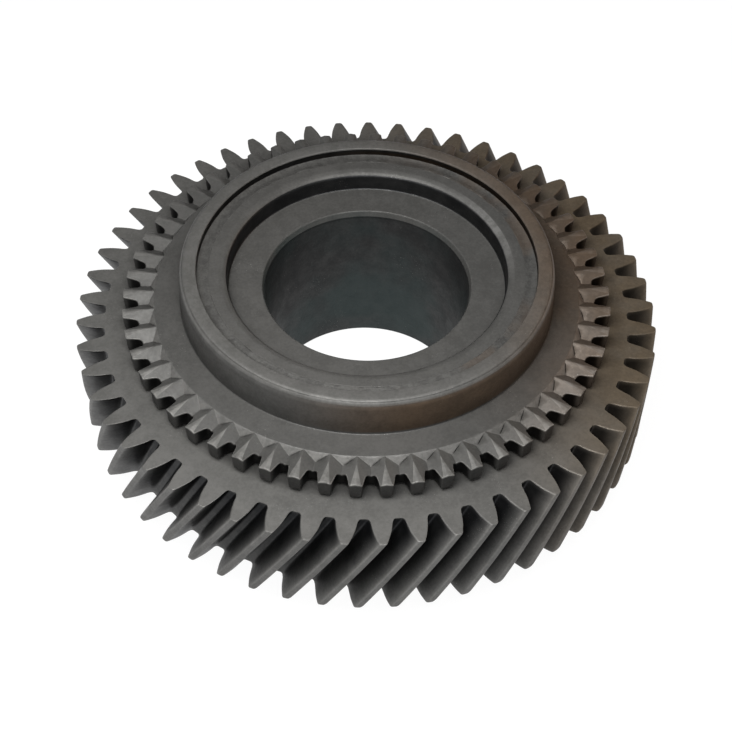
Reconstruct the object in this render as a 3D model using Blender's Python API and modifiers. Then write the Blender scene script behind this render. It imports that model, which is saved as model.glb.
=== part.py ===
"""Helical speed gear: a toothed wheel with a clutch ring pressed and welded onto its hub.

Metres, +Z up. The axis of the bore is the Z axis, and the back of the hub stands on Z = 0.
The clutch ring and its cone collar face +Z.
"""
import math

import bmesh
import bpy

MM = 0.001

# ---- helical teeth -------------------------------------------------------------------------
TOOTH_COUNT = 53
TIP_RADIUS = 70.0 * MM
ROOT_RADIUS = 63.2 * MM
FACE_WIDTH = 25.3 * MM
TWIST = math.radians(11.4)              # the front of a tooth lies this far ahead of its back
TOOTH_PHASE = math.radians(1.95)        # where a tooth's middle crosses the front face
TIP_LAND = 1.6 * MM                     # width of a tooth's crest
ROOT_LAND = 2.6 * MM                    # width of the valley between two teeth, at its floor
FLANK_CROWN = 0.38 * MM                 # how far a flank bulges out at mid height
ROOT_FILLET = 0.75 * MM
TIP_BREAK = 0.6 * MM                    # bevel at both ends of a crest
GAP_SLICES = 3                          # lengthwise divisions of a tooth space

# ---- heights above the hub's back face -----------------------------------------------------
WHEEL_BACK = 9.0 * MM
WHEEL_FRONT = WHEEL_BACK + FACE_WIDTH
CLUTCH_FACE = WHEEL_FRONT + 6.1 * MM
HUB_FACE = WHEEL_FRONT + 8.6 * MM
LEDGE = WHEEL_FRONT + 13.8 * MM
COLLAR_TOP = WHEEL_FRONT + 16.0 * MM

# ---- hub and bore --------------------------------------------------------------------------
BORE_RADIUS = 24.45 * MM
BORE_LEAD_WIDTH = 0.5 * MM
BORE_LEAD_DEPTH = 1.8 * MM
RECESS_RADIUS = 33.1 * MM
LEDGE_BEVEL_WIDTH = 1.7 * MM
LEDGE_BEVEL_DEPTH = 1.2 * MM
HUB_RADIUS = 38.1 * MM
WELD_DEPTH = 3.6 * MM
BACK_BOSS_RADIUS = 33.0 * MM
BACK_RELIEF_INNER = 37.0 * MM
BACK_RELIEF_OUTER = 56.0 * MM
BACK_RELIEF_DEPTH = 1.6 * MM
EDGE_BREAK = 0.4 * MM

# ---- clutch ring ---------------------------------------------------------------------------
DOG_COUNT = 54
DOG_PHASE = math.radians(1.64)
DOG_TIP_RADIUS = 58.4 * MM
DOG_ROOT_RADIUS = 54.8 * MM
DOG_UNDERSIDE = WHEEL_FRONT + 0.7 * MM
DOG_GAP_ROOT = 2.0 * MM                 # width of the gap between two dog teeth at its root
DOG_GAP_TIP = 3.9 * MM                  # and at the dog teeth's tips
ROOF_START_RADIUS = 50.8 * MM           # the pointed tops run out into the face here
ROOF_VALLEY_RADIUS = 52.4 * MM
ROOF_DROP = 1.7 * MM                    # from the clutch face down to the middle of a gap
RIDGE_LIFT = 0.12 * MM                  # the roof planes meet this far above the clutch face
COLLAR_OUTER_RADIUS = 44.6 * MM
COLLAR_TOP_RADIUS = 44.3 * MM
COLLAR_INNER_RADIUS = 40.2 * MM
COLLAR_BEVEL_WIDTH = 1.0 * MM
COLLAR_BEVEL_DEPTH = 1.8 * MM

# ---- weld ----------------------------------------------------------------------------------
WELD_ROOT_INSET = 0.8 * MM              # the hub narrows by this towards the weld
WELD_SAG = 0.5 * MM                     # the bead's middle lies this far below its edges

CLEARANCE = 0.3 * MM                    # between pieces that touch
HUB_STEPS = 2 * TOOTH_COUNT
CLUTCH_STEPS = 2 * DOG_COUNT
MERGE_DISTANCE = 0.00001
CUT_OVERRUN = 2.0 * MM                  # cutters reach this far past what they cut


def clear_scene():
    for old in list(bpy.data.objects):
        bpy.data.objects.remove(old, do_unlink=True)


def new_collection(name):
    collection = bpy.data.collections.new(name)
    bpy.context.scene.collection.children.link(collection)
    return collection


def steel(name, colour, roughness):
    material = bpy.data.materials.new(name)
    material.use_nodes = True
    shader = material.node_tree.nodes["Principled BSDF"]
    shader.inputs["Base Color"].default_value = (*colour, 1.0)
    shader.inputs["Metallic"].default_value = 1.0
    shader.inputs["Roughness"].default_value = roughness
    return material


def turned_ring(name, collection, profile, steps):
    """A closed (radius, height) outline, given down its outer side, turned about Z."""
    mesh = bpy.data.meshes.new(name)
    points = [(radius, 0.0, height) for radius, height in profile]
    count = len(points)
    mesh.from_pydata(points, [(i, (i + 1) % count) for i in range(count)], [])
    ring = bpy.data.objects.new(name, mesh)
    collection.objects.link(ring)
    screw = ring.modifiers.new("turn", "SCREW")
    screw.axis = "Z"
    screw.angle = math.tau
    screw.steps = steps
    screw.render_steps = steps
    screw.use_merge_vertices = True
    screw.merge_threshold = MERGE_DISTANCE
    screw.use_smooth_shade = False
    return ring


def skin_sections(bm, sections):
    """Skin equal closed sections into one solid, with a flat face at each end."""
    rings = [[bm.verts.new(point) for point in section] for section in sections]
    for lower, upper in zip(rings, rings[1:]):
        for i in range(len(lower)):
            j = (i + 1) % len(lower)
            bm.faces.new((lower[i], lower[j], upper[j], upper[i]))
    bm.faces.new(list(reversed(rings[0])))
    bm.faces.new(rings[-1])


def cutter_object(name, collection, bm):
    bmesh.ops.recalc_face_normals(bm, faces=bm.faces[:])
    mesh = bpy.data.meshes.new(name)
    bm.to_mesh(mesh)
    bm.free()
    cutter = bpy.data.objects.new(name, mesh)
    collection.objects.link(cutter)
    cutter.hide_render = True
    cutter.display_type = "WIRE"
    return cutter


def cut(target, cutter):
    boolean = target.modifiers.new(cutter.name, "BOOLEAN")
    boolean.operation = "DIFFERENCE"
    boolean.solver = "EXACT"
    boolean.object = cutter


def polar(radius, angle, height):
    return (radius * math.cos(angle), radius * math.sin(angle), height)


def tooth_space_outline():
    """A helical tooth space from its floor outwards, as (radius, half width) points."""
    depth = TIP_RADIUS - ROOT_RADIUS
    half_floor = ROOT_LAND / 2
    half_mouth = (math.tau * TIP_RADIUS / TOOTH_COUNT - TIP_LAND) / 2
    fillet_end = 0.18
    outline = [(ROOT_RADIUS, half_floor - ROOT_FILLET)]
    for share in (fillet_end, 0.5, 1.0):
        crown = FLANK_CROWN * math.sin(math.pi * share)
        outline.append((ROOT_RADIUS + share * depth, half_floor + share * (half_mouth - half_floor) - crown))
    flare = (half_mouth - half_floor) / depth
    outline.append((TIP_RADIUS + CUT_OVERRUN, half_mouth + flare * CUT_OVERRUN))
    return outline


def tooth_spaces(collection):
    """All the helical tooth spaces, as one set of twisted solids."""
    bm = bmesh.new()
    outline = tooth_space_outline()
    loop = [(r, w) for r, w in outline] + [(r, -w) for r, w in reversed(outline)]
    pitch = math.tau / TOOTH_COUNT
    twist_rate = TWIST / FACE_WIDTH
    low = WHEEL_BACK - CUT_OVERRUN
    high = WHEEL_FRONT + CUT_OVERRUN
    for k in range(TOOTH_COUNT):
        middle = TOOTH_PHASE + (k + 0.5) * pitch
        sections = []
        for i in range(GAP_SLICES + 1):
            height = low + (high - low) * i / GAP_SLICES
            turn = middle + (height - WHEEL_FRONT) * twist_rate
            sections.append([polar(r, turn + w / r, height) for r, w in loop])
        skin_sections(bm, sections)
    return cutter_object("tooth_spaces", collection, bm)


def gear_wheel(parts, cutters):
    ledge_inner = RECESS_RADIUS + LEDGE_BEVEL_WIDTH
    profile = [
        (TIP_RADIUS - TIP_BREAK, WHEEL_FRONT),
        (TIP_RADIUS, WHEEL_FRONT - TIP_BREAK),
        (TIP_RADIUS, WHEEL_BACK + TIP_BREAK),
        (TIP_RADIUS - TIP_BREAK, WHEEL_BACK),
        (BACK_RELIEF_OUTER, WHEEL_BACK),
        (BACK_RELIEF_OUTER - BACK_RELIEF_DEPTH, WHEEL_BACK + BACK_RELIEF_DEPTH),
        (BACK_RELIEF_INNER, WHEEL_BACK + BACK_RELIEF_DEPTH),
        (BACK_BOSS_RADIUS, WHEEL_BACK - EDGE_BREAK),
        (BACK_BOSS_RADIUS, EDGE_BREAK),
        (BACK_BOSS_RADIUS - EDGE_BREAK, 0.0),
        (BORE_RADIUS + EDGE_BREAK, 0.0),
        (BORE_RADIUS, EDGE_BREAK),
        (BORE_RADIUS, HUB_FACE - BORE_LEAD_DEPTH),
        (BORE_RADIUS + BORE_LEAD_WIDTH, HUB_FACE),
        (RECESS_RADIUS, HUB_FACE),
        (RECESS_RADIUS, LEDGE - LEDGE_BEVEL_DEPTH),
        (ledge_inner, LEDGE),
        (HUB_RADIUS - WELD_ROOT_INSET, LEDGE),
        (HUB_RADIUS, LEDGE - WELD_DEPTH),
        (HUB_RADIUS, WHEEL_FRONT),
    ]
    wheel = turned_ring("gear_wheel", parts, profile, HUB_STEPS)
    cut(wheel, tooth_spaces(cutters))
    return wheel


def dog_gaps(collection):
    """The gaps between the dog teeth: straight slots that widen outwards."""
    bm = bmesh.new()
    pitch = math.tau / DOG_COUNT
    flare = (DOG_GAP_TIP - DOG_GAP_ROOT) / (DOG_TIP_RADIUS - DOG_ROOT_RADIUS) / 2
    reach = DOG_TIP_RADIUS + CUT_OVERRUN
    fillet = 0.3 * DOG_GAP_ROOT
    outline = [
        (DOG_ROOT_RADIUS, DOG_GAP_ROOT / 2 - fillet),
        (DOG_ROOT_RADIUS + fillet, DOG_GAP_ROOT / 2 + flare * fillet),
        (reach, DOG_GAP_ROOT / 2 + flare * (reach - DOG_ROOT_RADIUS)),
    ]
    loop = outline + [(r, -w) for r, w in reversed(outline)]
    for k in range(DOG_COUNT):
        middle = DOG_PHASE + (k + 0.5) * pitch
        heights = (WHEEL_FRONT - CUT_OVERRUN, CLUTCH_FACE + CUT_OVERRUN)
        sections = [[polar(r, middle + w / r, height) for r, w in loop] for height in heights]
        skin_sections(bm, sections)
    return cutter_object("dog_gaps", collection, bm)


def roof_cut(collection):
    """One ring with a zigzag underside, which leaves every dog tooth with a pointed top.

    Its sections alternate between a ridge, over a tooth's middle, and a valley, over a gap's.
    Where the roof runs out into the clutch face, two plain triangles join each pair of sections.
    """
    run_out = ROOF_VALLEY_RADIUS - ROOF_START_RADIUS
    inner = ROOF_START_RADIUS - run_out / 2
    outer = DOG_TIP_RADIUS + CUT_OVERRUN
    top = CLUTCH_FACE + CUT_OVERRUN
    bm = bmesh.new()
    rings = []
    for k in range(2 * DOG_COUNT):
        drop = ROOF_DROP if k % 2 else -RIDGE_LIFT
        profile = [
            (outer, top),
            (outer, CLUTCH_FACE - drop),
            (ROOF_VALLEY_RADIUS, CLUTCH_FACE - drop),
            (inner, CLUTCH_FACE + ROOF_DROP / 2),
            (inner, top),
        ]
        angle = DOG_PHASE + k * math.pi / DOG_COUNT
        rings.append([bm.verts.new(polar(r, angle, height)) for r, height in profile])
    for k, ring in enumerate(rings):
        following = rings[(k + 1) % len(rings)]
        for i in range(len(ring)):
            j = (i + 1) % len(ring)
            a, b, c, d = ring[i], ring[j], following[j], following[i]
            if i == 2 and k % 2 == 0:
                triangles = ((a, b, c), (a, c, d))
            elif i == 2:
                triangles = ((a, b, d), (b, c, d))
            else:
                triangles = ((a, b, c, d),)
            for corners in triangles:
                bm.faces.new(corners)
    return cutter_object("roof_cut", collection, bm)


def clutch_ring(parts, cutters):
    bore = HUB_RADIUS + CLEARANCE
    seat = WHEEL_FRONT + CLEARANCE
    profile = [
        (COLLAR_TOP_RADIUS - COLLAR_BEVEL_WIDTH, COLLAR_TOP),
        (COLLAR_TOP_RADIUS, COLLAR_TOP - COLLAR_BEVEL_DEPTH),
        (COLLAR_OUTER_RADIUS, CLUTCH_FACE),
        (DOG_TIP_RADIUS, CLUTCH_FACE),
        (DOG_TIP_RADIUS, DOG_UNDERSIDE),
        (DOG_ROOT_RADIUS - EDGE_BREAK, DOG_UNDERSIDE),
        (DOG_ROOT_RADIUS - 2 * EDGE_BREAK, seat),
        (bore, seat),
        (bore, LEDGE - WELD_DEPTH),
        (COLLAR_INNER_RADIUS, LEDGE - WELD_DEPTH / 4),
        (COLLAR_INNER_RADIUS, COLLAR_TOP),
    ]
    ring = turned_ring("clutch_ring", parts, profile, CLUTCH_STEPS)
    cut(ring, dog_gaps(cutters))
    cut(ring, roof_cut(cutters))
    return ring


def weld_seam(parts):
    inner = HUB_RADIUS - WELD_ROOT_INSET + CLEARANCE
    outer = COLLAR_INNER_RADIUS - CLEARANCE
    middle = (inner + outer) / 2
    root = HUB_RADIUS + CLEARANCE / 2
    profile = [
        (outer, LEDGE),
        (outer, LEDGE - WELD_DEPTH / 4),
        (root + CLEARANCE / 2, LEDGE - WELD_DEPTH + CLEARANCE),
        (root, LEDGE - WELD_DEPTH + CLEARANCE),
        (inner, LEDGE),
        (middle, LEDGE - WELD_SAG),
    ]
    return turned_ring("weld_seam", parts, profile, CLUTCH_STEPS)


def main():
    clear_scene()
    parts = new_collection("helical_gear")
    cutters = new_collection("cutters")
    wheel = gear_wheel(parts, cutters)
    ring = clutch_ring(parts, cutters)
    seam = weld_seam(parts)
    wheel.data.materials.append(steel("phosphated_steel", (0.115, 0.112, 0.108), 0.48))
    ring.data.materials.append(steel("clutch_steel", (0.14, 0.135, 0.13), 0.45))
    seam.data.materials.append(steel("weld_metal", (0.09, 0.085, 0.08), 0.6))


main()
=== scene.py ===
"""A synchronised helical speed gear in worn, phosphated steel, on a pale studio floor."""
import math

import bpy
import numpy as np
from mathutils import Matrix, Vector


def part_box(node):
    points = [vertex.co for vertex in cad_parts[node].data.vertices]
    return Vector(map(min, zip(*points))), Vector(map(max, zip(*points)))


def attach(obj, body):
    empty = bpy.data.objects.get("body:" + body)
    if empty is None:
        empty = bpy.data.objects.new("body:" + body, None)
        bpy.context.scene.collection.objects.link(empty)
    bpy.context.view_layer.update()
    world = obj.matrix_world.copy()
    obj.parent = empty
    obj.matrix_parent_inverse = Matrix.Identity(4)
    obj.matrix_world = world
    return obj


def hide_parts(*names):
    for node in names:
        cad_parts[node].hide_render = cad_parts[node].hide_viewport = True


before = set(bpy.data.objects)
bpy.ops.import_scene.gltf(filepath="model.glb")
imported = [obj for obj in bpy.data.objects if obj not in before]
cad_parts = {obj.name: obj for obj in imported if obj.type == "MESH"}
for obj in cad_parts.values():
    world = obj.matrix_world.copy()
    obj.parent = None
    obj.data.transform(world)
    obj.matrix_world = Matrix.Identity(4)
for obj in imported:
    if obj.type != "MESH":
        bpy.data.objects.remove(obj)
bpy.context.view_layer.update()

MM = 0.001

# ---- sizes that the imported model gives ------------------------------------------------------
WHEEL_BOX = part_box("gear_wheel")
CLUTCH_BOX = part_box("clutch_ring")
CLEARANCE = 0.3 * MM
TIP_RADIUS = WHEEL_BOX[1].x
LEDGE = WHEEL_BOX[1].z
COLLAR_TOP = CLUTCH_BOX[1].z
WHEEL_FRONT = CLUTCH_BOX[0].z - CLEARANCE

# ---- helical teeth, as in the CAD -----------------------------------------------------------
TOOTH_COUNT = 53
TOOTH_PITCH = math.tau / TOOTH_COUNT
ROOT_RADIUS = 63.2 * MM
FACE_WIDTH = 25.3 * MM
WHEEL_BACK = WHEEL_FRONT - FACE_WIDTH
TWIST = math.radians(11.4)
TOOTH_PHASE = math.radians(1.95)
TIP_LAND = 1.6 * MM
ROOT_LAND = 2.6 * MM
FLANK_CROWN = 0.38 * MM
FILLET_TOP = 0.18           # where the root fillet meets the flank, as a share of the tooth's depth
FILLET_LEAN = 0.153         # how fast the flank opens there
ROOT_FLAT = 0.55 * MM
TIP_ROUND = 0.42 * MM
TOOTH_SLICES = 26
BACK_EDGE_WEAR = 0.04

# ---- hub and bore ---------------------------------------------------------------------------
HUB_FACE = LEDGE - 5.2 * MM
BORE_RADIUS = 24.45 * MM
RECESS_RADIUS = 33.1 * MM
HUB_RADIUS = 38.1 * MM
HUB_WELD_RADIUS = 37.45 * MM
LEDGE_EDGE = 34.95 * MM
LEDGE_BEVEL = 33.75 * MM
BACK_BOSS_RADIUS = 33.0 * MM
RELIEF_INNER = 37.0 * MM
RELIEF_OUTER = 56.0 * MM
RELIEF_DEPTH = 1.6 * MM
EDGE_BREAK = 0.5 * MM
WEB_RING = 61.3 * MM
GLINT_SIDE = math.radians(28)          # where round the hub a painted highlight lies on the ledge's bevel
# painted shade in the bore and on the recess wall; it also makes them more metallic and smoother
BORE_DARK = 0.66
RECESS_DARK = 0.80

# ---- clutch ring ----------------------------------------------------------------------------
DOG_COUNT = 54
DOG_PITCH = math.tau / DOG_COUNT
DOG_PHASE = math.radians(1.64)
DOG_TIP_RADIUS = 58.4 * MM
DOG_ROOT_RADIUS = 54.8 * MM
DOG_GAP_ROOT = 2.0 * MM
DOG_GAP_TIP = 3.9 * MM
DOG_GAP_FLARE = (DOG_GAP_TIP - DOG_GAP_ROOT) / (DOG_TIP_RADIUS - DOG_ROOT_RADIUS) / 2
DOG_ROOT_FLAT = 0.16 * MM
DOG_FILLET = 0.95 * MM
DOG_TIP_ROUND = 0.22 * MM
DOG_RIM_INSET = 0.20 * MM
CLUTCH_FACE = WHEEL_FRONT + 6.1 * MM
DOG_UNDERSIDE = WHEEL_FRONT + 0.7 * MM
DOG_SEAT = WHEEL_FRONT + 0.05 * MM
FACE_RING = 49.6 * MM
UNDERSIDE_RING = 53.6 * MM
RUNOUT_START = 50.8 * MM
ROOF_VALLEY = 52.4 * MM
ROOF_DROP = 1.7 * MM
ROOF_SLOPE = ROOF_DROP / (math.pi * ROOF_VALLEY / DOG_COUNT)
RUNOUT_SLOPE = ROOF_DROP / (ROOF_VALLEY - RUNOUT_START)
CREST = CLUTCH_FACE + 0.03 * MM
WORN_START = 52.9 * MM
WORN_FALL = 0.36 * MM
WORN_SLOPE = 0.45 * ROOF_SLOPE
COLLAR_OUTER = 44.6 * MM
COLLAR_INNER = 40.2 * MM
# painted shade on the collar's inner wall, and a lighter one on its outer wall
INNER_WALL_DARK = 1.0
OUTER_WALL_DARK = 0.28

# ---- weld, in millimetres above the ledge from the collar's wall in to the hub ---------------
WELD_STEPS = 1080
WELD_LIFT = (0.10, 0.02, -0.04, -0.09, -0.13, -0.16, -0.18, -0.19, -0.18,
             -0.16, -0.13, -0.10, -0.07, -0.04, -0.01, -0.04, -0.35)
WELD_RIPPLES = 178

ROUND_STEPS = 12            # columns of a turned surface per tooth pitch
# a teal painted reflection in the bore
BORE_REFLECTION_COLOUR = (0.028, 0.040, 0.040)
FLOOR_HALF_SIZE = 3.0
FLOOR_DROP = 0.4 * MM


# =============================================================================================
# Mesh helpers
# =============================================================================================
def make_object(name, points, faces, marks, sharp):
    mesh = bpy.data.meshes.new(name)
    mesh.from_pydata([tuple(p) for p in points], [], faces)
    mesh.update()
    for mark, values in marks.items():
        attribute = mesh.attributes.new(mark, "FLOAT", "POINT")
        attribute.data.foreach_set("value", np.asarray(values, np.float32))
    mesh.shade_smooth()
    mesh.set_sharp_from_angle(angle=math.radians(sharp))
    obj = bpy.data.objects.new(name, mesh)
    bpy.context.scene.collection.objects.link(obj)
    return obj


def signed_volume(mesh):
    mesh.calc_loop_triangles()
    triangles = np.zeros(len(mesh.loop_triangles) * 3, np.int32)
    mesh.loop_triangles.foreach_get("vertices", triangles)
    places = np.zeros(len(mesh.vertices) * 3)
    mesh.vertices.foreach_get("co", places)
    corners = places.reshape(-1, 3)[triangles.reshape(-1, 3)]
    return float(np.einsum("ij,ij->i", corners[:, 0], np.cross(corners[:, 1], corners[:, 2])).sum())


class Rings:
    """Collects closed rings of points and the faces between them, for one solid."""

    def __init__(self):
        self.points = []
        self.wear = []
        self.dark = []
        self.faces = []
        self.count = 0

    # wear marks worn metal, which on the ledge's bevel is a painted highlight; dark marks painted shade
    def ring(self, xyz, wear=0.0, dark=0.0):
        start = self.count
        n = len(xyz)
        self.points.append(np.asarray(xyz, float))
        self.wear.append(np.broadcast_to(np.asarray(wear, float), (n,)).copy())
        self.dark.append(np.broadcast_to(np.asarray(dark, float), (n,)).copy())
        self.count += n
        return (start, n)

    def join(self, a, b):
        """Quads between two rings of equal count."""
        (s, n), (t, _) = a, b
        for i in range(n):
            j = (i + 1) % n
            self.faces.append((s + i, s + j, t + j, t + i))

    def join_chain(self, chain):
        for a, b in zip(chain, chain[1:]):
            self.join(a, b)

    def fan(self, a, b, sectors):
        """Flat many-sided faces between two rings of different counts, one per sector."""
        (s, n), (t, m) = a, b
        p, q = n // sectors, m // sectors
        for k in range(sectors):
            face = [s + (k * p + i) % n for i in range(p + 1)]
            face += [t + (k * q + i) % m for i in range(q, -1, -1)]
            self.faces.append(tuple(face))

    def build(self, name, sharp=32.0):
        points = np.concatenate(self.points)
        marks = {"wear": np.concatenate(self.wear), "dark": np.concatenate(self.dark)}
        obj = make_object(name, points, self.faces, marks, sharp)
        if signed_volume(obj.data) < 0:
            obj.data.flip_normals()
        return obj


def around(radius, height, angles):
    """Points about the axis. The radius and the height are one number each, or one per angle."""
    heights = np.broadcast_to(height, angles.shape)
    return np.stack([radius * np.cos(angles), radius * np.sin(angles), heights], 1)


def curve(start, corner, end, steps):
    """Points on a smooth bend from start, which is left out, to end. It is pulled towards corner."""
    points = []
    for k in range(1, steps + 1):
        t = k / steps
        a, b, c = (1 - t) ** 2, 2 * t * (1 - t), t * t
        points.append(tuple(a * p + b * q + c * r for p, q, r in zip(start, corner, end)))
    return points


def rounded(corners, segments=4, hold=0.12 * MM):
    """A (radius, height) path with its corners rounded.

    Each corner is (radius, height, rounding). A point on each side of a rounding keeps the flats flat.
    """
    out = []
    for i, corner in enumerate(corners):
        p = np.array(corner[:2])
        size = corner[2] if len(corner) > 2 else 0.0
        if size <= 0 or i in (0, len(corners) - 1):
            out.append(p)
            continue
        before = np.array(corners[i - 1][:2]) - p
        after = np.array(corners[i + 1][:2]) - p
        a, b = np.linalg.norm(before), np.linalg.norm(after)
        cut = min(size, 0.48 * a, 0.48 * b)
        ua, ub = before / a, after / b
        if a > cut + 3 * hold:
            out.append(p + ua * (cut + hold))
        for k in range(segments + 1):
            t = k / segments
            out.append(p + ua * cut * (1 - t) ** 2 + ub * cut * t ** 2)
        if b > cut + 3 * hold:
            out.append(p + ub * (cut + hold))
    return out


def closed_noise(seed, count, smooth):
    """Smooth random values on a closed ring, about -1 to 1."""
    raw = np.random.default_rng(seed).normal(size=count)
    frequency = np.fft.rfftfreq(count, 1.0 / count)
    spectrum = np.fft.rfft(raw) * np.exp(-((frequency / smooth) ** 2))
    out = np.fft.irfft(spectrum, count)
    return out / (np.abs(out).max() + 1e-12)


# =============================================================================================
# Gear wheel
# =============================================================================================
def half_space(inset, crop):
    """A tooth space from its middle to the tooth's middle, as (radius, half width, wear)."""
    tip = TIP_RADIUS - inset - crop
    root = ROOT_RADIUS - inset
    depth = TIP_RADIUS - ROOT_RADIUS
    half_floor = ROOT_LAND / 2
    half_mouth = (math.tau * TIP_RADIUS / TOOTH_COUNT - TIP_LAND) / 2

    def flank(share):
        width = half_floor + share * (half_mouth - half_floor) - FLANK_CROWN * math.sin(math.pi * share)
        return (ROOT_RADIUS + share * depth, width + inset)

    floor_end = (root, ROOT_FLAT)
    start = flank(FILLET_TOP)
    turn = (root, start[1] - FILLET_LEAN * (start[0] - root))
    out = [(root, 0.0, 0.0), (root, ROOT_FLAT * 0.5, 0.0), (*floor_end, 0.0)]
    out += [(r, w, 0.0) for r, w in curve(floor_end, turn, start, 5)]

    top_share = (tip - TIP_ROUND - ROOT_RADIUS) / depth
    flank_steps = 8
    for k in range(1, flank_steps + 1):
        share = FILLET_TOP + (top_share - FILLET_TOP) * k / flank_steps
        out.append((*flank(share), 0.05 if k == flank_steps else 0.0))

    corner = (tip, flank((tip - ROOT_RADIUS) / depth)[1])
    land = (tip, corner[1] + TIP_ROUND)
    round_steps = 5
    for k, (r, w) in enumerate(curve(out[-1][:2], corner, land, round_steps), 1):
        out.append((r, w, 0.22 * math.sin(math.pi * k / round_steps)))
    middle = math.pi * tip / TOOTH_COUNT
    for share in (0.3, 1.0):
        out.append((tip, land[1] + share * (middle - land[1]), 0.06))
    return out


def one_pitch(inset, crop):
    """Rows of angle from a tooth space's middle, radius and wear, over one pitch."""
    offsets = [(w / r, r, wear) for r, w, wear in half_space(inset, crop)]
    mirrored = [(TOOTH_PITCH - a, r, wear) for a, r, wear in reversed(offsets[1:-1])]
    return np.array(offsets + mirrored)


def wheel_outline(inset, height, edge_wear, crop):
    """The whole toothed outline at one height, as points, wear and painted shade.

    An inset rounds the edges of the flanks and crests. The floors of the tooth spaces stay sharp.
    The flanks carry painted shade, darkest at their roots and near the front face.
    """
    pattern = one_pitch(inset, crop)
    share = (pattern[:, 1] - ROOT_RADIUS) / (TIP_RADIUS - ROOT_RADIUS)
    sharp = np.clip(1.0 - 2.6 * share, 0.0, 0.8)[:, None]
    pattern = pattern * (1 - sharp) + one_pitch(0.0, crop) * sharp
    depth = np.clip((TIP_RADIUS - 0.3 * MM - pattern[:, 1]) / (3.8 * MM), 0.0, 1.0)
    below = (WHEEL_FRONT - height) / MM
    dark = np.tile(depth ** 0.5, TOOTH_COUNT) * min(1.0, below / 0.3) * (1.0 - 0.021 * below)
    turn = TOOTH_PHASE + (height - WHEEL_FRONT) * TWIST / FACE_WIDTH
    middles = turn + (np.arange(TOOTH_COUNT) + 0.5) * TOOTH_PITCH
    angles = (middles[:, None] + pattern[None, :, 0]).ravel()
    radii = np.tile(pattern[:, 1], TOOTH_COUNT)
    wear = np.tile(pattern[:, 2], TOOTH_COUNT)
    return around(radii, height, angles), np.maximum(wear, edge_wear), dark


def tooth_stations():
    """(inset, height, edge wear, crop) for each outline of the teeth, from the front to the back.

    The front edges are only softened. The back edges are rolled, and the teeth end a little lower.
    """
    front = ((0.24, 0.0), (0.14, 0.03), (0.05, 0.11), (0.0, 0.25))
    back = ((0.0, 0.0, 1.5), (0.04, 0.02, 0.95), (0.13, 0.05, 0.52), (0.30, 0.09, 0.2), (0.62, 0.12, 0.0))
    top = WHEEL_FRONT - 1.0 * MM
    low = WHEEL_BACK + 1.5 * MM
    stations = [(inset * MM, WHEEL_FRONT - drop * MM, 0.0, 0.0) for inset, drop in front]
    stations += [(0.0, top + (low - top) * k / TOOTH_SLICES, 0.0, 0.0) for k in range(TOOTH_SLICES)]
    for inset, crop, rise in back:
        stations.append((inset * MM, WHEEL_BACK + rise * MM, BACK_EDGE_WEAR, crop * MM))
    return stations


def wheel_angles(turn):
    n = TOOTH_COUNT * ROUND_STEPS
    return turn + TOOTH_PHASE + TOOTH_PITCH / 2 + np.arange(n) * math.tau / n


def hub_path():
    """The web, hub, bore and back boss as one (radius, height) path, from the front to the back."""
    path = rounded([
        (WEB_RING, WHEEL_FRONT),
        (HUB_RADIUS, WHEEL_FRONT, 0.0),
        (HUB_RADIUS, LEDGE - 3.6 * MM, 0.0),
        (HUB_WELD_RADIUS, LEDGE, 0.12 * MM),
        (LEDGE_EDGE, LEDGE, 0.35 * MM),
        (LEDGE_BEVEL, LEDGE - 0.42 * MM, 0.5 * MM),
        (RECESS_RADIUS, LEDGE - 1.25 * MM, 0.35 * MM),
        (RECESS_RADIUS + 0.05 * MM, HUB_FACE, 0.45 * MM),
        (BORE_RADIUS + 0.52 * MM, HUB_FACE, 0.30 * MM),
        (BORE_RADIUS, HUB_FACE - 1.8 * MM, 0.3 * MM),
        (BORE_RADIUS, EDGE_BREAK, 0.12 * MM),
        (BORE_RADIUS + EDGE_BREAK, 0.0, 0.12 * MM),
        (BACK_BOSS_RADIUS - EDGE_BREAK, 0.0, 0.12 * MM),
        (BACK_BOSS_RADIUS, EDGE_BREAK, 0.12 * MM),
        (BACK_BOSS_RADIUS, WHEEL_BACK - 0.4 * MM, 0.8 * MM),
        (RELIEF_INNER, WHEEL_BACK + RELIEF_DEPTH, 1.2 * MM),
        (RELIEF_OUTER - RELIEF_DEPTH, WHEEL_BACK + RELIEF_DEPTH, 0.6 * MM),
        (RELIEF_OUTER, WHEEL_BACK, 0.3 * MM),
        (WEB_RING, WHEEL_BACK),
    ])
    return path[1:-1]


def hub_marks(radius, height, angles):
    """The wear and dark marks of one ring of the hub: a painted highlight on one side of the ledge's
    bevel, and painted shade in the bore and on the recess wall.
    """
    in_bore = radius < BORE_RADIUS + 0.1 * MM
    in_recess = RECESS_RADIUS - 0.2 * MM < radius < RECESS_RADIUS + 0.3 * MM and height > HUB_FACE
    dark = BORE_DARK if in_bore else (RECESS_DARK if in_recess else 0.0)
    on_bevel = 33.3 * MM < radius < 34.9 * MM and height > LEDGE - 1.2 * MM
    # painted highlight on the ledge's bevel, round the side that faces the light, carried in the wear mark
    bevel_glint = 0.75 * np.clip(np.cos(angles - GLINT_SIDE), 0.0, 1.0) ** 14 if on_bevel else 0.0
    return bevel_glint, dark


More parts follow.
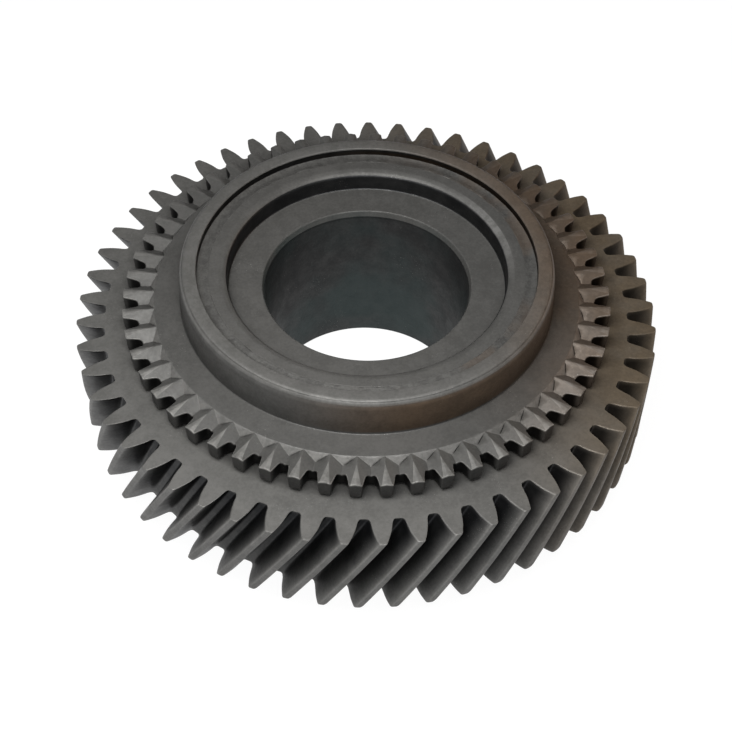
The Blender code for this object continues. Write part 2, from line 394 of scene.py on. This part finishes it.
def gear_wheel():
    body = Rings()
    teeth = []
    for inset, height, edge, crop in tooth_stations():
        xyz, wear, dark = wheel_outline(inset, height, edge, crop)
        marked = height not in (WHEEL_FRONT, WHEEL_BACK)
        teeth.append(body.ring(xyz, wear * marked, dark * marked))
    body.join_chain(teeth)
    web_front = body.ring(around(WEB_RING, WHEEL_FRONT, wheel_angles(0.0)))
    body.fan(teeth[0], web_front, TOOTH_COUNT)
    web_back = body.ring(around(WEB_RING, WHEEL_BACK, wheel_angles(-TWIST)))
    body.fan(teeth[-1], web_back, TOOTH_COUNT)
    path = hub_path()
    chain = [web_front]
    for share, (radius, height) in zip(np.linspace(0.0, 1.0, len(path) + 2)[1:-1], path):
        angles = wheel_angles(-TWIST * share)
        chain.append(body.ring(around(radius, height, angles), *hub_marks(radius, height, angles)))
    body.join_chain(chain + [web_back])
    return body.build("gear_wheel_fine")


# =============================================================================================
# Clutch ring
# =============================================================================================
def dog_half_outline(inset):
    """A dog gap from its middle to the tooth's middle, as (radius, half width)."""
    tip = DOG_TIP_RADIUS - inset
    root = DOG_ROOT_RADIUS - inset

    def side(radius):
        return (radius, DOG_GAP_ROOT / 2 + DOG_GAP_FLARE * (radius - DOG_ROOT_RADIUS) + inset)

    start = side(DOG_ROOT_RADIUS + DOG_FILLET)
    turn = (root, start[1] - DOG_GAP_FLARE * (start[0] - root))
    out = [(root, 0.0), (root, DOG_ROOT_FLAT / 2), (root, DOG_ROOT_FLAT)]
    out += curve(out[-1], turn, start, 4)
    out += [side(start[0] + (tip - DOG_TIP_ROUND - start[0]) * k / 5) for k in range(1, 6)]
    corner = side(tip)
    land = (tip, corner[1] + DOG_TIP_ROUND)
    out += curve(out[-1], corner, land, 3)
    middle = math.pi * tip / DOG_COUNT
    out += [(tip, land[1] + (middle - land[1]) * k / 5) for k in range(1, 6)]
    return out


def dog_pattern(inset):
    """One pitch of the dog outline: rows of angle from the gap's middle, radius."""
    half = [(w / r, r) for r, w in dog_half_outline(inset)]
    mirrored = [(DOG_PITCH - a, r) for a, r in reversed(half[1:-1])]
    return np.array(half + mirrored)


def crossing(low, high, before):
    """Where before stops being true between low and high."""
    for _ in range(40):
        middle = (low + high) / 2
        if before(middle):
            low = middle
        else:
            high = middle
    return low


def dog_column(angle, rim):
    """Radii, heights, wear and slit of one radial column of a dog tooth's top, out to its rim.

    The rows bend with the edges of the facets: the run-out, the roof, then the worn tip.
    """
    away = abs(angle - DOG_PITCH / 2)           # from the tooth's middle
    lean = math.tan(away)

    def runout(r):
        return CLUTCH_FACE - RUNOUT_SLOPE * (r - RUNOUT_START)

    def roof(r):
        return CREST - ROOF_SLOPE * r * lean

    def worn(r):
        share = (r - WORN_START) / (DOG_TIP_RADIUS - WORN_START)
        return CREST - WORN_FALL * share - WORN_SLOPE * r * lean

    def top(r):
        cut = min(roof(r), worn(r)) if r > WORN_START else roof(r)
        return min(CLUTCH_FACE, max(cut, runout(r)))

    crease = crossing(RUNOUT_START, ROOF_VALLEY + 0.6 * MM, lambda r: runout(r) > roof(r))
    facet = crossing(WORN_START, DOG_TIP_RADIUS + 3 * MM, lambda r: worn(r) > roof(r))
    limit = rim - 0.10 * MM
    crease_at = min(max(crease, RUNOUT_START + 0.06 * MM), limit - 0.9 * MM)
    facet_at = min(max(facet, crease_at + 0.45 * MM), limit - 0.1 * MM)
    past_crease = crease_at + 0.18 * MM
    lip = 0.07 * MM if crease_at - RUNOUT_START > 0.3 * MM else 0.03 * MM
    radii = [RUNOUT_START - 0.5 * MM, RUNOUT_START - 0.12 * MM, RUNOUT_START]
    radii += [RUNOUT_START + (crease_at - RUNOUT_START) * t for t in (0.25, 0.75)]
    radii += [crease_at - lip, crease_at, crease_at + 0.07 * MM, past_crease]
    radii += [past_crease + (facet_at - past_crease) * t for t in (0.35, 0.7)]
    radii += [facet_at - 0.06 * MM, facet_at + 0.02 * MM]
    radii += [facet_at + (limit - facet_at) * t for t in (0.3, 0.65, 0.9)]
    radii += [limit, rim]
    radii = np.maximum.accumulate(np.array(radii))
    heights = np.array([top(r) for r in radii])

    # a slit in the crease, on the side of the tooth that follows a gap, cut a little deeper and darkened
    # with painted shade
    slit = np.zeros(len(radii))
    reach = crease_at * lean / MM
    if angle < DOG_PITCH / 2 and 0.7 < reach < 2.75:
        share = math.sin(math.pi * (reach - 0.7) / 2.05) ** 0.6
        heights[6] -= 0.42 * MM * share
        heights[7] -= 0.23 * MM * share
        slit[6:8] = share
    wear = np.where((radii < facet_at) | (facet >= rim), 0.0, 0.5)
    if away > 0.006:
        wear[3:6] = np.maximum(wear[3:6], 0.45)
    return radii, heights, wear, slit


def dog_angles(offsets):
    """The angles of a row of columns, given from a gap's middle, repeated round the ring."""
    middles = DOG_PHASE + (np.arange(DOG_COUNT) + 0.5) * DOG_PITCH
    return (middles[:, None] + offsets[None, :]).ravel()


def dog_side(body, inset, height, wear, dark):
    """One ring down the dog teeth's sides. The height is one number, or one per column of a pitch."""
    pattern = dog_pattern(inset)
    radii = np.tile(pattern[:, 1], DOG_COUNT)
    heights = np.tile(np.broadcast_to(height, len(pattern)), DOG_COUNT)
    worn = np.where(radii > DOG_ROOT_RADIUS + 0.5 * MM, wear, 0.3 * wear)
    # painted shade, deepest towards the gap's root and down the sides
    shade = np.clip((DOG_TIP_RADIUS - radii) / (1.5 * MM), 0.45, 1.0) * dark
    return body.ring(around(radii, heights, dog_angles(pattern[:, 0])), worn, shade)


def clutch_angles():
    n = DOG_COUNT * ROUND_STEPS
    return DOG_PHASE + DOG_PITCH / 2 + np.arange(n) * math.tau / n


def collar_path():
    """The face, the cone collar and the seat as one (radius, height) path, down to the underside."""
    path = rounded([
        (FACE_RING, CLUTCH_FACE),
        (COLLAR_OUTER + 0.03 * MM, CLUTCH_FACE, 0.30 * MM),
        (44.35 * MM, COLLAR_TOP - 1.75 * MM, 0.8 * MM),
        (43.95 * MM, COLLAR_TOP - 0.55 * MM, 0.6 * MM),
        (43.15 * MM, COLLAR_TOP, 0.5 * MM),
        (41.5 * MM, COLLAR_TOP - 0.02 * MM, 0.2 * MM),
        (COLLAR_INNER + 0.14 * MM, COLLAR_TOP - 0.16 * MM, 0.16 * MM),
        (COLLAR_INNER, COLLAR_TOP - 0.7 * MM, 0.2 * MM),
        (COLLAR_INNER, LEDGE - 1.2 * MM, 0.0),
        (HUB_RADIUS + 0.05 * MM, LEDGE - 3.0 * MM, 0.0),
        (HUB_RADIUS + 0.05 * MM, DOG_SEAT, 0.0),
        (53.2 * MM, DOG_SEAT, 0.0),
        (UNDERSIDE_RING, DOG_UNDERSIDE, 0.0),
    ], segments=5)
    return path[1:-1]


def collar_dark(radius, height):
    # painted shade on the collar's inner wall, and a lighter one on its outer wall above the face
    if radius < COLLAR_INNER + 0.05 * MM and height < COLLAR_TOP:
        return INNER_WALL_DARK
    if COLLAR_OUTER - 0.5 * MM < radius and CLUTCH_FACE < height < COLLAR_TOP - 1.0 * MM:
        return OUTER_WALL_DARK
    return 0.0


def clutch_ring():
    body = Rings()
    pattern = dog_pattern(DOG_RIM_INSET)
    columns = [dog_column(angle, rim) for angle, rim in pattern]
    angles = dog_angles(pattern[:, 0])
    dogs = []
    for row in range(len(columns[0][0])):
        radii, heights, wear, slit = (np.tile([c[i][row] for c in columns], DOG_COUNT) for i in range(4))
        dogs.append(body.ring(around(radii, heights, angles), wear, slit))
    # a rounded rim, then the sides with a little back taper, down to the underside, darkened more and more
    # with painted shade
    rim_heights = np.array([heights[-1] for _, heights, _, _ in columns])
    for inset, drop, wear in ((0.07, 0.06, 0.75), (0.0, 0.22, 0.5), (0.0, 0.5, 0.0)):
        dogs.append(dog_side(body, inset * MM, rim_heights - drop * MM, wear, drop / 0.5))
    for inset, rise in ((0.12, 1.6), (0.26, 0.45), (0.5, 0.0)):
        dogs.append(dog_side(body, inset * MM, DOG_UNDERSIDE + rise * MM, 0.0, 1.0))
    body.join_chain(dogs)
    underside = body.ring(around(UNDERSIDE_RING, DOG_UNDERSIDE, clutch_angles()))
    body.fan(dogs[-1], underside, DOG_COUNT)
    face = body.ring(around(FACE_RING, CLUTCH_FACE, clutch_angles()))
    body.fan(dogs[0], face, DOG_COUNT)
    chain = [face]
    for radius, height in collar_path():
        chain.append(body.ring(around(radius, height, clutch_angles()), 0.0, collar_dark(radius, height)))
    body.join_chain(chain + [underside])
    return body.build("clutch_ring_fine", sharp=62.0)


# =============================================================================================
# Weld seam
# =============================================================================================
def weld_seam():
    body = Rings()
    n = WELD_STEPS
    angles = np.arange(n) * math.tau / n
    ragged = 0.42 * closed_noise(3, n, 70.0) + 0.30 * closed_noise(4, n, 240.0)
    inner = 37.15 * MM + ragged * 0.55 * MM
    outer = COLLAR_INNER + 0.04 * MM + 0.02 * MM * closed_noise(5, n, 60)
    wave = 0.05 * closed_noise(7, n, 45.0)
    wander = 2.0 * closed_noise(9, n, 8.0)
    rings = []
    for i, lift in enumerate(WELD_LIFT):
        share = i / (len(WELD_LIFT) - 1)
        rough = 0.035 * closed_noise(20 + i, n, 160.0) + 0.02 * closed_noise(60 + i, n, 330.0)
        ripple = 0.012 * np.sin(angles * WELD_RIPPLES + 1.8 * np.cos(share * math.pi) + wander)
        fade = math.sin(math.pi * min(max(share, 0.04), 0.94)) ** 0.5
        height = LEDGE + (lift + fade * (rough + wave + ripple)) * MM
        rings.append(body.ring(around(outer + (inner - outer) * share, height, angles)))
    for radius in (37.9 * MM, 39.9 * MM):
        rings.append(body.ring(around(radius, LEDGE - 1.0 * MM, angles)))
    body.join_chain(rings + rings[:1])
    return body.build("weld_bead_fine", sharp=60.0)


# =============================================================================================
# Materials
# =============================================================================================
class Nodes:
    """A short way to write a material's node tree."""

    def __init__(self, name):
        self.material = bpy.data.materials.new(name)
        self.material.use_nodes = True
        self.tree = self.material.node_tree
        self.shader = self.tree.nodes["Principled BSDF"]
        self.place = self.tree.nodes.new("ShaderNodeTexCoord").outputs["Object"]

    def link(self, source, target):
        if isinstance(source, bpy.types.NodeSocket):
            self.tree.links.new(source, target)
        else:
            target.default_value = source

    def noise(self, scale, detail=3.0, roughness=0.55):
        node = self.tree.nodes.new("ShaderNodeTexNoise")
        self.link(self.place, node.inputs["Vector"])
        node.inputs["Scale"].default_value = scale
        node.inputs["Detail"].default_value = detail
        node.inputs["Roughness"].default_value = roughness
        return node.outputs["Fac"]

    def maths(self, operation, a, b=0.0, clamp=False):
        node = self.tree.nodes.new("ShaderNodeMath")
        node.operation = operation
        node.use_clamp = clamp
        self.link(a, node.inputs[0])
        self.link(b, node.inputs[1])
        return node.outputs[0]

    def times(self, a, b, clamp=False):
        return self.maths("MULTIPLY", a, b, clamp)

    def weighted(self, *terms):
        """The sum of each value times its weight."""
        parts = [self.times(value, weight) for value, weight in terms]
        total = parts[0]
        for part in parts[1:]:
            total = self.maths("ADD", total, part)
        return total

    def span(self, value, low, high, to_low=0.0, to_high=1.0):
        node = self.tree.nodes.new("ShaderNodeMapRange")
        node.inputs["From Min"].default_value = low
        node.inputs["From Max"].default_value = high
        node.inputs["To Min"].default_value = to_low
        node.inputs["To Max"].default_value = to_high
        node.interpolation_type = "SMOOTHSTEP"
        self.link(value, node.inputs["Value"])
        return node.outputs["Result"]

    def mix(self, factor, a, b):
        node = self.tree.nodes.new("ShaderNodeMix")
        node.data_type = "RGBA"
        self.link(factor, node.inputs["Factor"])
        for value, socket in ((a, node.inputs["A"]), (b, node.inputs["B"])):
            self.link((*value, 1.0) if isinstance(value, tuple) else value, socket)
        return node.outputs["Result"]

    def scale(self, colour, factor):
        node = self.tree.nodes.new("ShaderNodeVectorMath")
        node.operation = "SCALE"
        self.link(colour, node.inputs[0])
        self.link(factor, node.inputs["Scale"])
        return node.outputs["Vector"]

    def tint(self, colour, by):
        node = self.tree.nodes.new("ShaderNodeVectorMath")
        node.operation = "MULTIPLY"
        self.link(colour, node.inputs[0])
        self.link(by, node.inputs[1])
        return node.outputs["Vector"]

    def attribute(self, name):
        node = self.tree.nodes.new("ShaderNodeAttribute")
        node.attribute_name = name
        return node.outputs["Fac"]

    def split(self):
        node = self.tree.nodes.new("ShaderNodeSeparateXYZ")
        self.link(self.place, node.inputs[0])
        return node.outputs

    def bump(self, height, strength, distance, normal=None):
        node = self.tree.nodes.new("ShaderNodeBump")
        node.inputs["Strength"].default_value = strength
        node.inputs["Distance"].default_value = distance
        self.link(height, node.inputs["Height"])
        if normal is not None:
            self.link(normal, node.inputs["Normal"])
        return node.outputs["Normal"]


def brown_stain_and_reflection(n, x, y, z, radius, brown_wall):
    """How strong the brown is, partly staining and partly a painted warm reflection: mostly on the +X
    side, outside the hub, and further round on a wall.

    The wall is the one between the two heights given for it, when they are given.
    """
    side = n.span(n.maths("ADD", x, n.times(y, 0.35)), 6 * MM, 60 * MM)
    side = n.times(side, n.span(radius, 38 * MM, 41 * MM))
    stain_and_reflection = n.times(side, n.span(n.noise(60.0, 4.0, 0.65), 0.25, 0.65, 0.65, 1.0))
    if brown_wall:
        low, high = brown_wall
        wall = n.times(n.span(z, low, low + 0.6 * MM), n.span(z, high - 0.9 * MM, high, 1.0, 0.0))
        stain_and_reflection = n.maths("MAXIMUM", stain_and_reflection, n.times(wall, n.span(x, -22 * MM, 12 * MM)))
    return stain_and_reflection


def bright_metal(n, y, specks):
    """How bright the metal is worn: worn edges and facets, and a few small nicks. The worn brightness is
    painted light too: strongest on the -Y side, fading towards +Y, and on the ledge's bevel it is a
    painted highlight.
    """
    scuff = n.span(n.noise(420.0, 4.0, 0.7), 0.36, 0.60)
    wear = n.times(n.attribute("wear"), n.maths("ADD", n.times(scuff, 0.6), 0.4), clamp=True)
    # painted light: worn metal shows full brightness on the -Y side, near the lights, and fades towards +Y
    wear = n.times(wear, n.span(y, -20 * MM, 50 * MM, 1.0, 0.3))
    nick = n.times(n.span(specks, 0.68, 0.74), n.span(n.noise(110.0, 2.0), 0.54, 0.64))
    return n.maths("MAXIMUM", wear, n.times(nick, 0.8))


def worn_steel(name, dark, light, worn, shade_colour, brown, bands, roughness, brown_wall=None):
    """Phosphated steel: mottled grey, near black where painted shade lies in roots, gaps and recesses,
    bright where it is worn.

    Each band is (coordinate, low, high, tone below, tone above), scaling the tone between different turned
    faces; some bands are painted shade, noted where they are given.
    """
    n = Nodes(name)
    broad = n.noise(38.0, 3.0, 0.6)
    mottle = n.noise(260.0, 4.0, 0.6)
    fine = n.noise(1500.0, 3.0, 0.6)
    specks = n.noise(3600.0, 2.0, 0.5)
    tone = n.weighted((broad, 0.30), (mottle, 0.35), (fine, 0.35))
    colour = n.mix(n.span(tone, 0.36, 0.64), dark, light)
    x, y, z = n.split()
    radius = n.maths("SQRT", n.maths("ADD", n.times(x, x), n.times(y, y)))
    for axis, low, high, below, above in bands:
        place = {"radius": radius, "height": z}[axis]
        colour = n.scale(colour, n.span(place, low, high, below, above))
    # painted shade, in the roots and gaps and on the inner walls; the same mark makes the metal there more
    # metallic and smoother
    shade = n.times(n.attribute("dark"), n.span(mottle, 0.3, 0.7, 1.0, 0.88))
    colour = n.mix(shade, colour, shade_colour)
    # painted teal reflection in the bore
    bore_reflection = n.times(n.span(radius, 24.7 * MM, 25.3 * MM, 1.0, 0.0), n.span(broad, 0.36, 0.62))
    colour = n.mix(n.times(bore_reflection, 0.7), colour, BORE_REFLECTION_COLOUR)
    bright = bright_metal(n, y, specks)
    colour = n.mix(bright, colour, worn)
    # brown on the +X side, partly staining and partly a painted warm reflection, kept off the worn metal
    stain_and_reflection = brown_stain_and_reflection(n, x, y, z, radius, brown_wall)
    stain_and_reflection = n.times(stain_and_reflection, n.maths("SUBTRACT", 1.0, n.times(bright, 0.9)))
    colour = n.tint(colour, n.mix(stain_and_reflection, (1.0, 1.0, 1.0), brown))
    n.link(colour, n.shader.inputs["Base Color"])
    n.link(n.span(shade, 0.0, 1.0, 0.30, 0.92), n.shader.inputs["Metallic"])
    n.shader.inputs["Specular IOR Level"].default_value = 0.35
    n.shader.inputs["Specular Tint"].default_value = (0.6, 0.6, 0.6, 1.0)
    rough = n.span(tone, 0.35, 0.65, roughness + 0.07, roughness - 0.05)
    rough = n.maths("SUBTRACT", rough, n.times(bright, 0.08))
    rough = n.maths("SUBTRACT", rough, n.times(shade, 0.12))
    n.link(rough, n.shader.inputs["Roughness"])
    normal = n.bump(mottle, 0.20, 0.25 * MM)
    normal = n.bump(fine, 0.28, 0.08 * MM, normal)
    n.link(normal, n.shader.inputs["Normal"])
    return n.material


def wheel_steel():
    bands = (
        ("radius", 37.5 * MM, 39.5 * MM, 1.60, 1.00),
        # painted shade: the web in the dog gaps and round the clutch ring's foot is darker
        ("radius", 55.6 * MM, 58.8 * MM, 0.45, 0.90),
        ("radius", 61.0 * MM, 64.0 * MM, 1.0, 1.11),
    )
    return worn_steel(
        "wheel_steel", dark=(0.076, 0.075, 0.071), light=(0.113, 0.111, 0.106), worn=(0.22, 0.216, 0.21),
        shade_colour=(0.015, 0.016, 0.018), brown=(1.0, 0.78, 0.55), bands=bands, roughness=0.50)


def clutch_steel():
    bands = (
        # painted shade: the face round the collar, and the dog teeth with it, are kept darker than the
        # collar, for the collar's shade on the face
        ("height", CLUTCH_FACE + 1 * MM, COLLAR_TOP - 4 * MM, 0.66, 0.88),
        ("radius", 50.0 * MM, 52.0 * MM, 1.0, 1.05),
    )
    return worn_steel(
        "clutch_steel", dark=(0.078, 0.077, 0.073), light=(0.116, 0.114, 0.109), worn=(0.20, 0.196, 0.186),
        shade_colour=(0.016, 0.016, 0.016), brown=(1.0, 0.71, 0.50), bands=bands, roughness=0.50,
        # the outer collar wall takes the brown further round: partly staining, partly a painted warm
        # reflection
        brown_wall=(CLUTCH_FACE + 0.3 * MM, COLLAR_TOP - 0.6 * MM))


def weld_metal():
    n = Nodes("weld_metal")
    mottle = n.noise(420.0, 4.0, 0.65)
    fine = n.noise(1900.0, 3.0, 0.6)
    tone = n.weighted((mottle, 0.6), (fine, 0.4))
    colour = n.mix(n.span(tone, 0.36, 0.64), (0.044, 0.043, 0.041), (0.078, 0.077, 0.073))
    x, _, _ = n.split()
    # brown on the +X side, partly staining and partly a painted warm reflection
    stain_and_reflection = n.times(n.span(x, -10 * MM, 45 * MM), n.span(n.noise(90.0, 3.0), 0.4, 0.6))
    colour = n.mix(n.times(stain_and_reflection, 0.5), colour, (0.085, 0.060, 0.042))
    n.link(colour, n.shader.inputs["Base Color"])
    n.shader.inputs["Metallic"].default_value = 0.35
    n.shader.inputs["Specular IOR Level"].default_value = 0.35
    n.link(n.span(tone, 0.35, 0.65, 0.62, 0.50), n.shader.inputs["Roughness"])
    normal = n.bump(mottle, 0.35, 0.25 * MM)
    normal = n.bump(fine, 0.35, 0.10 * MM, normal)
    n.link(normal, n.shader.inputs["Normal"])
    return n.material


def floor_material():
    n = Nodes("studio_floor")
    grain = n.noise(6.0, 2.0)
    n.link(n.mix(grain, (0.09, 0.09, 0.09), (0.11, 0.11, 0.11)), n.shader.inputs["Base Color"])
    n.shader.inputs["Roughness"].default_value = 0.9
    n.shader.inputs["Specular IOR Level"].default_value = 0.1
    n.shader.inputs["Emission Color"].default_value = (1.0, 1.0, 1.0, 1.0)
    n.shader.inputs["Emission Strength"].default_value = 0.95
    return n.material


# =============================================================================================
# Stage
# =============================================================================================
def floor():
    mesh = bpy.data.meshes.new("floor")
    s = FLOOR_HALF_SIZE
    mesh.from_pydata([(-s, -s, 0), (s, -s, 0), (s, s, 0), (-s, s, 0)], [], [(0, 1, 2, 3)])
    sheet = bpy.data.objects.new("floor", mesh)
    sheet.location.z = -FLOOR_DROP
    sheet.data.materials.append(floor_material())
    bpy.context.scene.collection.objects.link(sheet)


def sky():
    """A dim surround, brighter on the side of the camera and a little to its left."""
    world = bpy.data.worlds.new("studio")
    world.use_nodes = True
    nodes = world.node_tree.nodes
    links = world.node_tree.links
    background = nodes["Background"]
    direction = nodes.new("ShaderNodeTexCoord").outputs["Generated"]
    slant = nodes.new("ShaderNodeVectorMath")
    slant.operation = "DOT_PRODUCT"
    slant.inputs[1].default_value = (-0.35, -0.80, 0.0)
    links.new(direction, slant.inputs[0])
    strength = nodes.new("ShaderNodeMath")
    strength.operation = "MULTIPLY_ADD"
    strength.inputs[1].default_value = 0.18
    strength.inputs[2].default_value = 0.19
    links.new(slant.outputs["Value"], strength.inputs[0])
    links.new(strength.outputs["Value"], background.inputs["Strength"])
    background.inputs["Color"].default_value = (0.97, 0.98, 1.0, 1.0)
    bpy.context.scene.world = world


def area_light(name, place, size, power, colour):
    """A rectangular light that faces the gear."""
    light = bpy.data.lights.new(name, "AREA")
    light.shape = "RECTANGLE"
    light.size, light.size_y = size
    light.energy = power
    light.color = colour
    lamp = bpy.data.objects.new(name, light)
    lamp.location = place
    direction = Vector((0.0, 0.0, 0.03)) - Vector(place)
    lamp.rotation_euler = direction.to_track_quat("-Z", "Y").to_euler()
    bpy.context.scene.collection.objects.link(lamp)


def lights():
    area_light("near", (0.0, -0.13, 0.255), (0.16, 0.16), 0.70, (1.0, 1.0, 1.0))
    area_light("near_left", (-0.057, -0.082, 0.203), (0.12, 0.12), 0.34, (1.0, 0.99, 0.97))
    area_light("warm_right", (0.60, 0.20, 0.22), (0.40, 0.30), 0.5, (1.0, 0.62, 0.36))


def camera():
    """Looks down at the wheel's front face along +Y, as in the photograph."""
    elevation = math.radians(48.596)
    roll = math.radians(0.902)
    right = Vector((1, 0, 0))
    up = Vector((0, math.sin(elevation), math.cos(elevation)))
    forward = Vector((0, math.cos(elevation), -math.sin(elevation)))
    aim = 0.0015 * right - 0.2052 * up      # from the middle of the front face, in tip radii
    distance = 5.24626                      # in tip radii
    place = Vector((0, 0, WHEEL_FRONT)) + TIP_RADIUS * (aim - distance * forward)
    cam_x = math.cos(roll) * right + math.sin(roll) * up
    cam_y = -math.sin(roll) * right + math.cos(roll) * up
    data = bpy.data.cameras.new("camera")
    data.sensor_width = 36.0
    data.lens = 74.2328
    data.clip_start = 0.01
    data.clip_end = 20.0
    cam = bpy.data.objects.new("camera", data)
    rotation = Matrix((cam_x, cam_y, -forward)).transposed()
    cam.matrix_world = Matrix.Translation(place) @ rotation.to_4x4()
    bpy.context.scene.collection.objects.link(cam)
    bpy.context.scene.camera = cam


def main():
    bpy.context.scene.view_settings.view_transform = "Standard"
    camera()
    floor()
    sky()
    lights()
    pieces = (
        (gear_wheel(), "gear_wheel", "wheel_steel", wheel_steel()),
        (clutch_ring(), "clutch_ring", "clutch_steel", clutch_steel()),
        (weld_seam(), "weld_seam", "weld_metal", weld_metal()),
    )
    for piece, node, slot, material in pieces:
        piece.data.materials.append(material)
        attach(piece, "root")
        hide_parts(node)


main()
